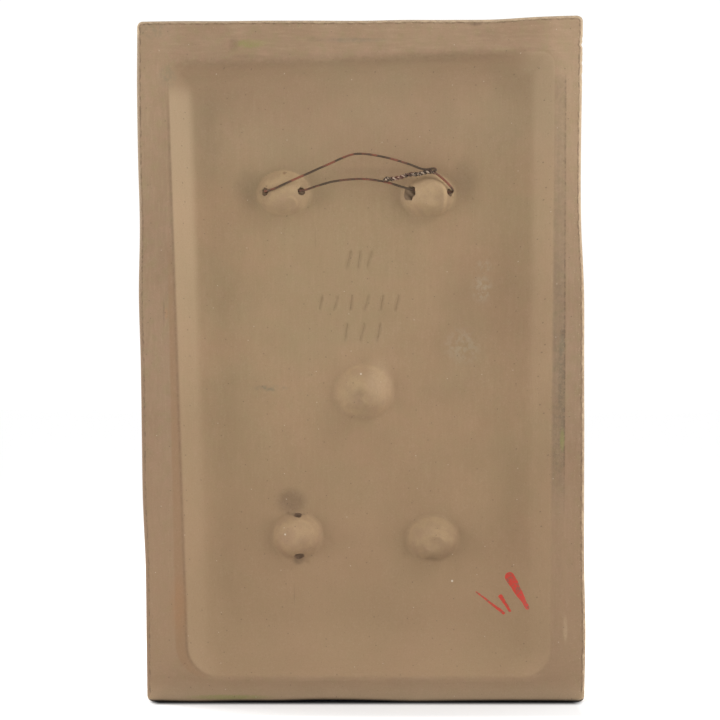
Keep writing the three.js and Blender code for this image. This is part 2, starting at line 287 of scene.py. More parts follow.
BOSSES = [
    # x, z, half width, half height as seen, rise, share of it that is flat
    (-39.4, -19.3, 13.9, 11.8, 10.5, 0.1),
    (33.8, -20.3, 13.5, 11.4, 10.5, 0.2),
    (1.3, -119.4, 15, 14.5, 8, 0),
    (-32.5, -191.9, 12.5, 12, 9.5, 0.15),
    (35.9, -193.3, 12.8, 11.4, 9, 0.15),
]
BOSS_POWER = 2.2
BOSS_FILLET = 1.4
BOSS_UNEVENNESS = 0.12
FLAT_FILLET = 0.25
# Flats: x, z, height there, its rise per mm across and up, and its curve across and up.
FLATS = [
    (-39.2, -23.4, 9.75, 0.02, 0.1, 0, 0.01),
    (32.2, -24.3, 9.9, -0.05, 0.1, 0.01, 0.01),
    (-0.3, -122.6, 7.15, 0.1, 0.14, 0, 0),
    (35.8, -196.8, 8.05, 0.04, 0.16, 0, 0),
]
# Finger prints on the bosses: x, z, half sizes across and up, depth, the ridge of clay it pushed up
# and the way that lies, in degrees round from the right.
FINGER_PRINTS = [
    (37, -21.1, 4.4, 8.6, 1.1, 0.6, 20),
    (-1, -121.6, 4.6, 5.6, 0.5, 0.15, 95),
    (-38, -24.8, 4.6, 3, 0.45, 0.3, 25),
    (36.4, -197, 5.6, 4.6, 0.3, 0.25, 80),
    (-31, -190.2, 5.4, 5, 0.2, 0.25, 60),
]
# Thumb marks beside the bosses: x, z, half sizes across and up, and depth.
THUMB_MARKS = [
    (-58, -18.4, 5.5, 10, 0.5),
    (-26.2, -9.4, 3.6, 4, 0.5),
    (-22.6, -22.6, 4, 6, 0.4),
    (53.4, -16, 5.5, 11, 0.5),
    (-35, -175.5, 7.5, 5, 0.7),
    (1.3, -130.6, 8, 3, 0.4),
    (2, -103.5, 9, 3, 0.3),
]
# The ridge round a finger print lies this far out, in its own half sizes, and is so wide.
RIDGE_REACH = 1.22
RIDGE_WIDTH = 0.2
PRINT_POWER = 1.3
SHADE_BY_THUMB = 0.5


def raised(floor_height, added, fillet):
    """The higher of two surfaces, with a fillet where they meet."""
    overlap = np.maximum(fillet - abs(floor_height - added), 0)
    return np.maximum(floor_height, added) + overlap**2 / (4 * fillet)


boss_height = np.zeros_like(back_x)
recess_shade = np.zeros_like(back_x)
# The upper part of each boss is kept for a painted highlight where it faces up.
boss_top_light = np.zeros_like(back_x)
ridges = np.zeros_like(back_x)
for x, z, width, tall, rise, flat in BOSSES:
    reach = np.hypot((back_x - x) / width, (back_z - z) / tall)
    dome = rise * (1 - np.maximum((reach - flat) / (1 - flat), 0) ** BOSS_POWER)
    dome = dome + BOSS_UNEVENNESS * lumps(back_x, back_z, 9, 31)
    for flat_x, flat_z, height, rise_x, rise_z, curve_x, curve_z in FLATS:
        if math.hypot(flat_x - x, flat_z - z) < tall:
            across, up = back_x - flat_x, back_z - flat_z
            plane = height + rise_x * across + rise_z * up - curve_x * across**2 - curve_z * up**2
            dome = -raised(-dome, -plane, FLAT_FILLET)
    boss_top_light = boss_top_light + np.clip((back_z - z) / tall + 0.1, 0, 1) * np.clip(dome, 0, 1)
    boss_height = raised(boss_height, dome, BOSS_FILLET)
for x, z, width, tall, depth, ridge, toward in FINGER_PRINTS:
    across, up = (back_x - x) / width, (back_z - z) / tall
    reach = np.hypot(across, up)
    turn = np.arctan2(up, across) - math.radians(toward)
    pushed = np.exp(-(((reach - RIDGE_REACH) / RIDGE_WIDTH) ** 2)) * np.maximum(np.cos(turn), 0)
    boss_height = boss_height - depth * np.clip(1 - reach**2, 0, 1) ** PRINT_POWER + ridge * pushed
    ridges = ridges + ridge * pushed
# Each thumb mark is a dent, and its depth is also kept as painted shade for the clay's colour.
for x, z, width, tall, depth in THUMB_MARKS:
    thumbed = np.exp(-(((back_x - x) / width) ** 2) - ((back_z - z) / tall) ** 2)
    boss_height = boss_height - depth * thumbed
    recess_shade = recess_shade + SHADE_BY_THUMB * depth * thumbed


# -------- marks
# Rows of short strokes pressed into the floor with a blunt point, and the small pits and
# nicks that the clay and its handling left.

STROKE_ROWS = [
    # x of the first, z, pitch, length, and the lean of each in degrees
    (-6.4, -52.5, 5.2, 9, [14, 8, 19]),
    (-20.6, -74.6, 7.7, 8, [12, 17, 8, 18, 11, 15]),
    (-7.8, -89.4, 8.2, 9.5, [9, 16, 12]),
]
STROKE_WIDTH = 1.25
STROKE_DEPTH = 0.45
STROKE_BURR = 0.16
STROKE_POWER = 0.7
# The burr lies this far out, in half widths of the stroke, and is so wide.
BURR_REACH = 1.6
BURR_WIDTH = 0.5
STROKE_SHADE = 0.55
# Pits: x, z, radius, depth.
PITS = [
    (-90.3, -256.6, 1, 0.5),
    (-88.8, -255.6, 0.7, 0.4),
    (72.2, 39.6, 0.7, 0.5),
    (77.8, 39.6, 0.8, 0.5),
    (-38.8, -9.4, 0.5, 0.3),
    (22.8, -23.3, 0.5, 0.5),
    (25.3, -25.3, 0.5, 0.5),
    (-49, -23.4, 0.7, 1),
    (-47.6, -21.6, 0.5, 0.9),
    (-50.2, -21.4, 0.6, 0.9),
    (-49.6, -17, 0.6, 0.9),
    (-50.4, -18.9, 0.9, 1),
    (-30.4, -16.2, 0.5, 0.9),
    (-30.2, -20.6, 0.5, 0.9),
    (-37, -180.6, 0.55, 1),
    (-34.6, -181, 0.55, 0.9),
    (-28.9, -180.9, 0.6, 0.9),
    (-27.4, -205, 0.55, 1),
    (-35, -202.6, 0.6, 0.8),
    (-33.4, -200.6, 0.6, 0.7),
    (-29.2, -200.9, 0.6, 0.7),
    (23, -26.2, 0.4, 0.5),
    (45.9, -21.6, 0.5, 0.9),
    (46, -17.2, 0.5, 0.8),
    (-6, -98.5, 0.8, 0.3),
    (-4.6, -100.2, 0.6, 0.3),
    (31.6, -193.6, 0.45, 0.35),
    (32.6, -194.8, 0.45, 0.35),
    (31.4, -195.2, 0.4, 0.35),
    (33, -192.4, 0.45, 0.3),
    (36.4, -193.8, 0.45, 0.3),
    (-2.6, -117.9, 0.5, 0.35),
    (-1, -117.2, 0.5, 0.35),
    (0.8, -118.2, 0.5, 0.35),
    (2.2, -119.4, 0.5, 0.3),
    (-3.6, -119.6, 0.45, 0.3),
]
LOOSE_PITS = 90
LOOSE_PIT_DEPTH = 0.25

marks = np.zeros_like(back_x)
for x, z, pitch, length, leans in STROKE_ROWS:
    for i, lean in enumerate(leans):
        across, up = back_x - (x + i * pitch), back_z - z
        turn = math.radians(lean)
        sideways = across * math.cos(turn) - up * math.sin(turn)
        onwards = across * math.sin(turn) + up * math.cos(turn)
        beyond = np.maximum(abs(onwards) - length / 2 + STROKE_WIDTH / 2, 0)
        reach = np.hypot(sideways, beyond) / (STROKE_WIDTH / 2)
        marks = marks - STROKE_DEPTH * np.maximum(1 - reach**2, 0) ** STROKE_POWER
        marks = marks + STROKE_BURR * np.exp(-(((reach - BURR_REACH) / BURR_WIDTH) ** 2))
pit_rng = np.random.default_rng(41)
loose_pits = []
for _ in range(LOOSE_PITS):
    x, z = pit_rng.uniform((slab_left, slab_foot), (slab_right, slab_top))
    loose_pits.append((x, z, pit_rng.uniform(0.3, 0.6), LOOSE_PIT_DEPTH))
for x, z, radius, depth in PITS + loose_pits:
    marks = marks - depth * np.exp(-((back_x - x) ** 2 + (back_z - z) ** 2) / radius**2)

back_y = np.maximum(rim_depth, hollow_depth - (boss_height + marks))
# The pressed strokes are also kept as painted shade, darker where they sink.
recess_shade = recess_shade + STROKE_SHADE * np.clip(-marks / STROKE_DEPTH, 0, 1)


# -------- front
# The decorated side: a plain border around a sunk field with one upright sprig in low relief,
# modelled in the clay before it was pressed hollow. The sides between are knife-trimmed.

BORDER = 17
FIELD_DEPTH = 2.6
FIELD_BEVEL = 2.4
FIELD_RADIUS = 9
SPRIG_FOOT = -232
SPRIG_TOP = -12
STEM_RADIUS = 3.4
STEM_RISE = 2.1
LEAF_PAIRS = 5
LEAF_LENGTH = 66
LEAF_WIDTH = 25
LEAF_RISE = 2.3
LEAF_TILT = 0.82
TIP_LEAF_SCALE = 0.8
TIP_LEAF_LAP = 6
TOP_PAIR_SCALE = 0.74
LOWEST_PAIR = 0.16
HIGHEST_PAIR = 0.86
MIDRIB_DEPTH = 0.5
MIDRIB_WIDTH = 0.9
FRONT_UNEVENNESS = 0.1
BORDER_SPACING = 3.2
BEVEL_SPACING = 0.8
FIELD_SPACING = 2.1
SIDE_RINGS = 6
TRIM_ROUGHNESS = 0.06


def leaf_rise(x, z, foot_x, foot_z, scale, tilt):
    """How far a pointed leaf stands up, with a groove along its midrib."""
    sideways = (x - foot_x) * math.cos(tilt) - (z - foot_z) * math.sin(tilt)
    onwards = (x - foot_x) * math.sin(tilt) + (z - foot_z) * math.cos(tilt)
    share = np.clip(2 * onwards / (LEAF_LENGTH * scale) - 1, -1, 1)
    half = np.maximum(LEAF_WIDTH * scale / 2 * (1 - share**2), 0.01)
    crown = np.maximum((1 - share**2) * (1 - (sideways / half) ** 2), 0)
    midrib = MIDRIB_DEPTH * np.exp(-((sideways / MIDRIB_WIDTH) ** 2)) * (crown > 0.02)
    return LEAF_RISE * np.sqrt(crown) - midrib


def front_spans(length):
    """The front's lines: open on the border and close at the bevel, on both sides."""
    bevel = BORDER + FIELD_BEVEL
    return [
        (BORDER, BORDER_SPACING),
        (bevel, BEVEL_SPACING),
        (length - bevel, FIELD_SPACING),
        (length - BORDER, BEVEL_SPACING),
    ]


front_columns = grid_lines(slab_width, front_spans(slab_width))
front_rows = grid_lines(slab_height, front_spans(slab_height))
front_x, front_z, front_from_side, front_from_end = slab_grid(front_columns, front_rows)
field_round = BORDER + FIELD_RADIUS
beyond_side = np.maximum(field_round - front_from_side, 0)
beyond_end = np.maximum(field_round - front_from_end, 0)
in_field = FIELD_RADIUS - np.hypot(beyond_side, beyond_end)
sprig_height = SPRIG_TOP - SPRIG_FOOT
up_stem = np.clip((front_z - SPRIG_FOOT) / sprig_height, 0, 1)
stem_half = STEM_RADIUS * (1 - up_stem / 2)
on_stem = (front_z > SPRIG_FOOT) & (front_z < SPRIG_TOP)
stem = STEM_RISE * np.sqrt(np.maximum(1 - (front_x / stem_half) ** 2, 0)) * on_stem
tip_leaf = leaf_rise(front_x, front_z, 0, SPRIG_TOP - TIP_LEAF_LAP, TIP_LEAF_SCALE, 0)
sprig = np.maximum(stem, tip_leaf)
for pair in range(LEAF_PAIRS):
    share = pair / (LEAF_PAIRS - 1)
    pair_z = SPRIG_FOOT + sprig_height * (LOWEST_PAIR + (HIGHEST_PAIR - LOWEST_PAIR) * share)
    for side in (-1, 1):
        leaf_scale = 1 + (TOP_PAIR_SCALE - 1) * share
        leaf = leaf_rise(front_x, front_z, side, pair_z, leaf_scale, side * LEAF_TILT)
        sprig = np.maximum(sprig, leaf)
from_front_edge = np.minimum(front_from_side, front_from_end)
front_y = slab_front - arris_drop(from_front_edge, FRONT_ARRIS) + sprig
front_y = front_y - FIELD_DEPTH * smooth_step(in_field / FIELD_BEVEL)
front_waves = (1 + lumps(front_x, front_z, 30, 52)).clip(0, 2) * smooth_step(from_front_edge / 5)
front_y = front_y - FRONT_UNEVENNESS * front_waves


def numbered(columns, rows, first):
    """A grid's quads, its outer points' numbers clockwise, and how far round each lies, to 4."""
    grid = first + np.arange(len(rows) * len(columns)).reshape(len(rows), len(columns))
    quads = np.stack([grid[:-1, :-1], grid[1:, :-1], grid[1:, 1:], grid[:-1, 1:]], axis=-1)
    over, down = columns / columns[-1], rows / rows[-1]
    loop = np.concatenate([grid[0, :-1], grid[:-1, -1], grid[-1, :0:-1], grid[:0:-1, 0]])
    turned = np.concatenate([over[:-1], 1 + down[:-1], 3 - over[:0:-1], 4 - down[:0:-1]])
    return quads.reshape(-1, 4).tolist(), loop, turned


def zipped(loop, turned, other, other_turned):
    """Triangles that join two loops, stepping along whichever is further behind."""
    faces = []
    turned, other_turned = [*turned, 4], [*other_turned, 4]
    i = j = 0
    while i < len(loop) or j < len(other):
        here, there = loop[i % len(loop)], other[j % len(other)]
        if j == len(other) or (i < len(loop) and turned[i + 1] <= other_turned[j + 1]):
            i += 1
            faces.append((here, loop[i % len(loop)], there))
        else:
            j += 1
            faces.append((here, other[j % len(other)], there))
    return faces


points = [np.stack([back_x, back_y, back_z], axis=-1).reshape(-1, 3)]
points.append(np.stack([front_x, front_y, front_z], axis=-1).reshape(-1, 3))
back_count, front_count = len(points[0]), len(points[1])
back_faces, last_loop, back_turned = numbered(back_columns, back_rows, 0)
front_faces, front_loop, front_turned = numbered(front_columns, front_rows, back_count)
faces = back_faces + front_faces
edge_points = points[0][last_loop]
outwards = np.cross(np.roll(edge_points, -1, axis=0) - np.roll(edge_points, 1, axis=0), (0, 1, 0))
outwards /= np.linalg.norm(outwards, axis=1)[:, None]
outwards *= np.sign((outwards * (edge_points - edge_points.mean(axis=0))).sum(axis=1))[:, None]
round_run = np.cumsum(np.linalg.norm(edge_points - np.roll(edge_points, 1, axis=0), axis=1))
next_first = back_count + front_count
for ring in range(1, SIDE_RINGS):
    ring_y = BACK_ARRIS + (slab_front - FRONT_ARRIS - BACK_ARRIS) * ring / SIDE_RINGS
    trim = TRIM_ROUGHNESS * (lumps(round_run, 0 * round_run + ring_y, 14, 61) - 1).clip(-2.5, 0.5)
    ring_points = edge_points + trim[:, None] * outwards
    ring_points[:, 1] = ring_y
    points.append(ring_points)
    loop = np.arange(next_first, next_first + len(last_loop))
    faces += np.stack([last_loop, loop, np.roll(loop, -1), np.roll(last_loop, -1)], axis=1).tolist()
    next_first += len(loop)
    last_loop = loop
faces += zipped(last_loop, back_turned, front_loop, front_turned)

plaque_data = bpy.data.meshes.new("clay_plaque")
plaque_data.from_pydata((np.concatenate(points) * MM).tolist(), [], faces)
# What the clay's colours, dirt, painted light and painted shade follow, kept on the back's points,
# with one value elsewhere.
kept = {
    "from_edge": (from_edge, 9),
    "from_shoulder": (inward(back_x, back_z, SHOULDER_RING), -9),
    "from_arris": (inward(back_x, back_z, ARRIS_RING), -9),
    "recess_shade": (recess_shade, 0),
    "boss_height": (boss_height, 0),
    "boss_top_light": (boss_top_light, 0),
    "ridges": (ridges, 0),
}
for name, (values, elsewhere) in kept.items():
    everywhere = np.full(next_first, float(elsewhere))
    everywhere[:back_count] = values.ravel()
    layer = plaque_data.attributes.new(name, "FLOAT", "POINT")
    layer.data.foreach_set("value", everywhere)
plaque_mesh = bmesh.new()
plaque_mesh.from_mesh(plaque_data)
bmesh.ops.recalc_face_normals(plaque_mesh, faces=plaque_mesh.faces)
plaque_mesh.to_mesh(plaque_data)
plaque_mesh.free()
plaque = linked("clay_plaque", plaque_data)


# -------- holes
# Pushed through three of the bosses with a tapered stick while the clay was soft, which left
# their mouths flared and ragged: two run sideways for the wire, and one runs upwards.

HOLES = [
    # From, to, radius at each, flare of the mouth at each
    ((-49.4, 6.5, -18.9), (-29.6, 6.5, -18.6), (1.6, 1.6), (2.3, 2.1)),
    ((22.4, 7, -19.5), (45.4, 8.4, -19.1), (3.7, 1.5), (4.2, 2)),
    ((-32, 10.4, -181), (-31.2, 9.8, -203), (1.7, 2), (2, 2.7)),
]
HOLE_OVERRUN = 4
HOLE_SIDES = 24
HOLE_STEP = 0.8
FLARE_LENGTH = 1.6
RAGGEDNESS = 0.07
RAG_SIZE = 3.2
SHARPEST_SMOOTHED = math.radians(60)


def carried_frames(path):
    """Two unit vectors across the path at each of its points, turning as little as they can."""
    tangents = np.gradient(path, axis=0)
    tangents /= np.linalg.norm(tangents, axis=1)[:, None]
    across = np.cross(tangents[0], (0.0, 1.0, 0.0))
    frames = []
    for tangent in tangents:
        across = across - tangent * np.dot(across, tangent)
        across /= np.linalg.norm(across)
        frames.append((across.copy(), np.cross(tangent, across)))
    return frames


def skinned(name, rings, closed):
    """An object of faces from each ring of points to the next, over the first and maybe the last."""
    mesh = bmesh.new()
    rows = [[mesh.verts.new(corner * MM) for corner in ring] for ring in rings]
    for row, following in zip(rows, rows[1:]):
        for side in range(len(row)):
            after = (side + 1) % len(row)
            mesh.faces.new((row[side], following[side], following[after], row[after]))
    mesh.faces.new(rows[0])
    if closed:
        mesh.faces.new(rows[-1][::-1])
        bmesh.ops.recalc_face_normals(mesh, faces=mesh.faces)
    data = bpy.data.meshes.new(name)
    mesh.to_mesh(data)
    mesh.free()
    return linked(name, data)


def tube(name, path, radii):
    """A closed tube along the path: a row of radii for each of its points, one for each side."""
    turns = np.arange(radii.shape[1]) * 2 * math.pi / radii.shape[1]
    rings = []
    for point, (across, over), row in zip(path, carried_frames(path), radii):
        spokes = np.outer(np.cos(turns), across) + np.outer(np.sin(turns), over)
        rings.append(point + row[:, None] * spokes)
    piece = skinned(name, rings, closed=True)
    piece.data.shade_smooth()
    return piece


bpy.context.view_layer.objects.active = plaque
for number, (start, end, radii, flares) in enumerate(HOLES):
    start, end = np.array(start), np.array(end)
    run = np.linalg.norm(end - start)
    steps = round((run + 2 * HOLE_OVERRUN) / HOLE_STEP)
    distance = np.linspace(-HOLE_OVERRUN, run + HOLE_OVERRUN, steps + 1)
    path = start + distance[:, None] * (end - start) / run
    girth = np.interp(distance, (0, run), radii)
    for mouth, radius, flare in zip((0, run), radii, flares):
        nearness = np.exp(-((distance - mouth) / FLARE_LENGTH) ** 2)
        girth = girth + (flare - radius) * nearness
    angle, length_way = np.meshgrid(np.arange(HOLE_SIDES) * 2 * math.pi / HOLE_SIDES, distance)
    ragged = lumps(3 * np.cos(angle) + length_way, 3 * np.sin(angle), RAG_SIZE, 70 + number)
    stick = tube("stick", path, girth[:, None] * (1 + RAGGEDNESS * ragged))
    cut = plaque.modifiers.new("hole", "BOOLEAN")
    cut.operation = "DIFFERENCE"
    cut.solver = "MANIFOLD"
    cut.object = stick
    bpy.ops.object.modifier_apply(modifier=cut.name)
    bpy.data.objects.remove(stick, do_unlink=True)
plaque.data.shade_smooth()
plaque.data.set_sharp_from_angle(angle=SHARPEST_SMOOTHED)


class Shade:
    """A socket of one material's node tree; sums and products of Shades add Math nodes."""

    def __init__(self, tree, socket):
        self.tree = tree
        self.socket = socket

    def node(self, kind, settings, inputs, output=0):
        """Any other node: its settings are set first, then each input gets a value or a link."""
        made = self.tree.nodes.new(kind)
        for key, value in settings.items():
            setattr(made, key, value)
        for key, value in inputs.items():
            if isinstance(value, Shade):
                self.tree.links.new(value.socket, made.inputs[key])
            else:
                made.inputs[key].default_value = value
        return Shade(self.tree, made.outputs[output])

    def maths(self, operation, *others):
        return self.node("ShaderNodeMath", {"operation": operation}, dict(enumerate((self, *others))))

    def __add__(self, other):
        return self.maths("ADD", other)

    def __sub__(self, other):
        return self.maths("SUBTRACT", other)

    def __rsub__(self, other):
        return self.maths("MULTIPLY_ADD", -1.0, other)

    def __mul__(self, other):
        return self.maths("MULTIPLY", other)

    def __pow__(self, other):
        return self.maths("POWER", other)

    __radd__ = __add__
    __rmul__ = __mul__

    def between(self, low, high):
        """0 where the value is at or before low, 1 at or past high, smooth between."""
        return self.node(
            "ShaderNodeMapRange",
            {"interpolation_type": "SMOOTHSTEP"},
            {"Value": self, "From Min": low, "From Max": high},
        )

    def until(self, low, high):
        """1 where the value is at or before low, 0 at or past high, smooth between."""
        return 1 - self.between(low, high)

    def near(self, low, high):
        """1 where the value is within low of zero, falling to 0 at high away from it."""
        return self.maths("ABSOLUTE").until(low, high)

    def blend(self, first, second):
        """The first colour where this share is 0, and the second where it is 1."""
        return self.node("ShaderNodeMix", {"data_type": "RGBA"}, {0: self, 6: first, 7: second}, output=2)

    def tint(self, other, share):
        """This colour turned into another by a share from 0 to 1."""
        return share.blend(self, other)

    def noise(self, scale, detail=2.0, roughness=0.5, output=0):
        """Noise read at this place, with so many bumps to the metre; output 1 has three numbers."""
        inputs = {"Vector": self, "Scale": scale, "Detail": detail, "Roughness": roughness}
        return self.node("ShaderNodeTexNoise", {}, inputs, output)

    def bump(self, strength, depth):
        """The normal of a surface with this relief, of a depth in millimetres."""
        inputs = {"Height": self, "Strength": strength, "Distance": depth * MM}
        return self.node("ShaderNodeBump", {}, inputs)

    def vector(self, operation, *others, output=0):
        """What a sum or product makes of a vector's three numbers."""
        inputs = dict(enumerate((self, *others)))
        return self.node("ShaderNodeVectorMath", {"operation": operation}, inputs, output)

    def axis(self, number):
        """One of a vector's three numbers."""
        return self.node("ShaderNodeSeparateXYZ", {}, {0: self}, output=number)


def new_material(name):
    """An empty material with its shader, and the place on the object that its textures read."""
    material = bpy.data.materials.new(name)
    material.use_nodes = True
    tree = material.node_tree
    shader = tree.nodes["Principled BSDF"]
    place = Shade(tree, tree.nodes.new("ShaderNodeTexCoord").outputs["Object"])
    return material, shader, place


def millimetres(place):
    """The three numbers of a place, in millimetres."""
    return [place.axis(number) * (1 / MM) for number in range(3)]


def feed(shader, name, shade):
    """Links a Shade to one of the shader's sockets."""
    shade.tree.links.new(shade.socket, shader.inputs[name])


def srgb(red, green, blue):
    """A colour for a shader, from its 0 to 255 screen values."""
    values = (red / 255, green / 255, blue / 255)
    return (*(c / 12.92 if c <= 0.04 else ((c + 0.055) / 1.055) ** 2.4 for c in values), 1)


# The clay's finish. It burnt to a warm buff in the hollow and to a greyer one on the rim, and it
# has ash specks, smears of slip, wood ash and dirt, and rubbed scuffs. Painted light and shade are
# laid in its colour too: highlights on the slopes, edges and bosses, and shade in its grooves, its
# holes, beside the bosses and under the slab's foot.

FLOOR_WARM = srgb(123, 98, 70)
FLOOR_OLIVE = srgb(118, 98, 70)
RIM_GREY = srgb(123, 101, 78)
REDDER = srgb(117, 89, 62)
DEEPER = srgb(96, 73, 54)
LIGHTER = srgb(155, 133, 105)
BOSS_CLAY_AND_HIGHLIGHT = srgb(160, 135, 99)
PALE_SLIP_AND_HIGHLIGHT = srgb(154, 133, 106)
GREY_SLIP_AND_LIGHT = srgb(127, 113, 96)
DARK_DIRT_AND_SHADE = srgb(68, 50, 34)
CONTACT_SHADOW = srgb(20, 16, 16)
GREEN_ASH = srgb(107, 108, 55)
GREY_ASH = srgb(91, 86, 69)
BROWN_ASH = srgb(84, 73, 55)
PINKISH = srgb(132, 103, 83)
OLIVE = srgb(115, 101, 69)
SCUFF = srgb(134, 121, 100)
ORANGE_CLAY = srgb(130, 93, 62)
SPECK_DARK = srgb(71, 55, 40)
SPECK_PALE = srgb(172, 160, 144)
RED_SLIP = srgb(164, 30, 0)
DRY_RED = srgb(104, 32, 10)
# Stains and smears on the back, with painted shadows and highlights by the bosses among them:
# x, z, half sizes across and up, colour, strength, how broken up.
STAINS = [
    (-55.8, 54.8, 8.5, 2.4, GREEN_ASH, 0.6, 0.4),
    (-64, 54.4, 3, 4, DARK_DIRT_AND_SHADE, 0.22, 0.3),
    # painted shadow along the top arris
    (-57, 48.4, 9, 1.2, DARK_DIRT_AND_SHADE, 0.14, 0.5),
    (-104, 62, 9, 5, GREY_ASH, 0.3, 0.9),
    (-97, 38.5, 5, 6, GREY_ASH, 0.3, 0.8),
    (-4.5, 56.6, 18, 1.4, GREY_ASH, 0.4, 0.5),
    (-24, 57, 5, 1.4, DARK_DIRT_AND_SHADE, 0.2, 0.5),
    (57, 64.6, 3.4, 1, DARK_DIRT_AND_SHADE, 0.55, 0.3),
    (63.7, 58.6, 6.5, 4.5, DARK_DIRT_AND_SHADE, 0.12, 0.3),
    (100.2, -120, 2, 30, BROWN_ASH, 0.4, 0.5),
    (100.2, -95.9, 1.6, 6, GREY_ASH, 0.35, 0.3),
    (-91.5, -226, 4.5, 16, ORANGE_CLAY, 0.35, 0.4),
    (-97.5, -80, 0.9, 3.2, ORANGE_CLAY, 0.5, 0.4),
    (-98.8, -79, 0.35, 8, DARK_DIRT_AND_SHADE, 0.4, 0.3),
    (-33.8, -222, 0.35, 6, DARK_DIRT_AND_SHADE, 0.28, 0.4),
    (-23.3, -42, 0.35, 6.5, DARK_DIRT_AND_SHADE, 0.16, 0.5),
    (101.9, -238, 1.2, 7, LIGHTER, 0.4, 0.4),
    (100.6, -89.8, 1.6, 1.8, DARK_DIRT_AND_SHADE, 0.4, 0.2),
    (100.4, -143.4, 1.3, 6, GREEN_ASH, 0.6, 0.3),
    (-66, -272, 22, 1.4, GREEN_ASH, 0.6, 0.3),
    (-45.7, -117.6, 8.6, 1.7, GREY_ASH, 0.6, 0.9),
    (60.7, -67.4, 5.6, 7, SCUFF, 0.62, 1),
    (61.7, -56.4, 4.6, 4, SCUFF, 0.42, 1),
    (51, -96, 10, 10, SCUFF, 0.4, 1),
    (-38.8, -9.3, 0.9, 0.9, REDDER, 0.8, 0),
    # painted shadow above the lower left boss
    (-35.4, -174.8, 8, 7, DARK_DIRT_AND_SHADE, 0.42, 0.2),
    # painted shadow left of the upper left boss
    (-57, -17, 8, 11, DARK_DIRT_AND_SHADE, 0.15, 0.2),
    # painted shadow right of the upper right boss
    (52, -12, 7, 12, DARK_DIRT_AND_SHADE, 0.16, 0.2),
    # a soft darker band between the strands of the wire
    (4, -8, 22, 2.4, DARK_DIRT_AND_SHADE, 0.1, 0.2),
    # painted highlight on the upper right of the middle boss
    (9, -114, 7, 12, LIGHTER, 0.3, 0.3),
    # painted shade in the left mouth of the upper left boss's hole
    (-47.6, -19.6, 3, 2.6, DARK_DIRT_AND_SHADE, 0.3, 0.8),
    # painted shade in the lower mouth of the lower left boss's hole
    (-31.6, -204.2, 3.2, 2.6, DARK_DIRT_AND_SHADE, 0.5, 0.3),
    # painted shade in the upper mouth of the lower left boss's hole
    (-32.4, -181.2, 4.2, 0.9, DARK_DIRT_AND_SHADE, 0.6, 0.4),
    # painted shadow under the lower right boss
    (35.4, -203.4, 4.2, 0.7, DARK_DIRT_AND_SHADE, 0.2, 0.3),
    # painted shadow under the middle boss
    (-1, -126.5, 6, 3, DARK_DIRT_AND_SHADE, 0.08, 0.2),
    (-0.8, -121.4, 3.4, 4.4, DARK_DIRT_AND_SHADE, 0.2, 0.6),
    (24.2, -19.8, 6.2, 5.6, LIGHTER, 0.2, 0.2),
    (62, -75, 30, 60, DEEPER, 0.14, 0.2),
]
# Specks all over: colour, cells of their net to the metre, radius, share of the cells, strength.
SPECKS = [
    (SPECK_DARK, 95, 0.33, 0.45, 0.55),
    (SPECK_DARK, 230, 0.2, 0.3, 0.4),
    (SPECK_PALE, 60, 0.26, 0.3, 0.5),
]
# Crumbs on the outer arris, as cells to the metre, radius and share of the cells.
CRUMBS = (420, 0.22, 0.4)
# Flecks of pale grit: x, z, radius.
GRIT = [(-38.3, -190.9, 0.5), (-0.3, -110.4, 0.5), (45.7, -214.8, 0.6)]
# Strokes of red slip: from (x, z), to (x, z), half width at each.
BRUSH_STROKES = [
    ((74.8, -212.9), (83.6, -228), 2.6, 0.9),
    ((70.2, -222.4), (74.6, -229.6), 1, 0.7),
    ((57.8, -220.4), (71.6, -230.7), 0.35, 0.8),
]
BRUSH_WOBBLE = 1.1
# How high the top arris of the hollow runs at the middle, and its rise to the right.
TOP_ARRIS = 48.4
TOP_ARRIS_RISE = 0.03
CLAY_GRAIN_DEPTH = 0.25


def patch(place, x, z, half_x, half_z):
    """1 about a point of the back, falling smoothly to 0 at the rim of an ellipse."""
    offset = place.vector("SUBTRACT", (x * MM, 0, z * MM))
    scaled = offset.vector("MULTIPLY", (1 / (half_x * MM), 0, 1 / (half_z * MM)))
    return scaled.vector("LENGTH", output=1).until(0.35, 1.25)


def specks(flat, cells, radius, share):
    """Round specks of a radius in millimetres, in a share of the cells of a net."""
    settings = {"voronoi_dimensions": "2D"}
    inputs = {"Vector": flat, "Scale": cells}
    reach = flat.node("ShaderNodeTexVoronoi", settings, inputs)
    chance = flat.node("ShaderNodeTexVoronoi", settings, inputs, output=1).axis(0)
    size = radius * cells * MM
    return reach.until(size * 0.5, size * 1.3) * chance.between(1 - share, 1.001 - share)


clay_material, clay_shader, clay_place = new_material("buff_stoneware")
clay_x, clay_y, clay_z = millimetres(clay_place)
# How far in each point lies from the lines of the back, what the hands left there, and where
# painted light and shade go.
attribute = {
    name: clay_place.node("ShaderNodeAttribute", {"attribute_name": name}, {}, output=2) for name in kept
}
in_edge = attribute["from_edge"]
in_shoulder = attribute["from_shoulder"]
in_arris = attribute["from_arris"]
on_back = clay_y.until(15, 18)
on_rim = in_arris.until(-1, 1.2)
broken = clay_place.noise(420, detail=4, roughness=0.65).between(0.44, 0.58)

# Each layer of colour is a colour, where it lies and how strongly, over all the layers before it.
patches = clay_place.noise(24, detail=3).between(0.36, 0.64)
clouds = clay_place.noise(60, detail=4, roughness=0.6).between(0.3, 0.7)
sheets = clay_place.noise(17, detail=3).between(0.36, 0.64)
mottle = clay_place.noise(170, detail=4, roughness=0.62)
layers = [
    (RIM_GREY, on_rim, 0.85),
    (REDDER, clouds, 0.24),
    (LIGHTER, sheets, 0.08),
    (DEEPER, 1 - sheets, 0.12),
    (PINKISH, mottle.between(0.5, 0.66), 0.12 + on_rim * 0.2),
    (OLIVE, mottle.until(0.36, 0.5), 0.16 + on_rim * 0.22),
]

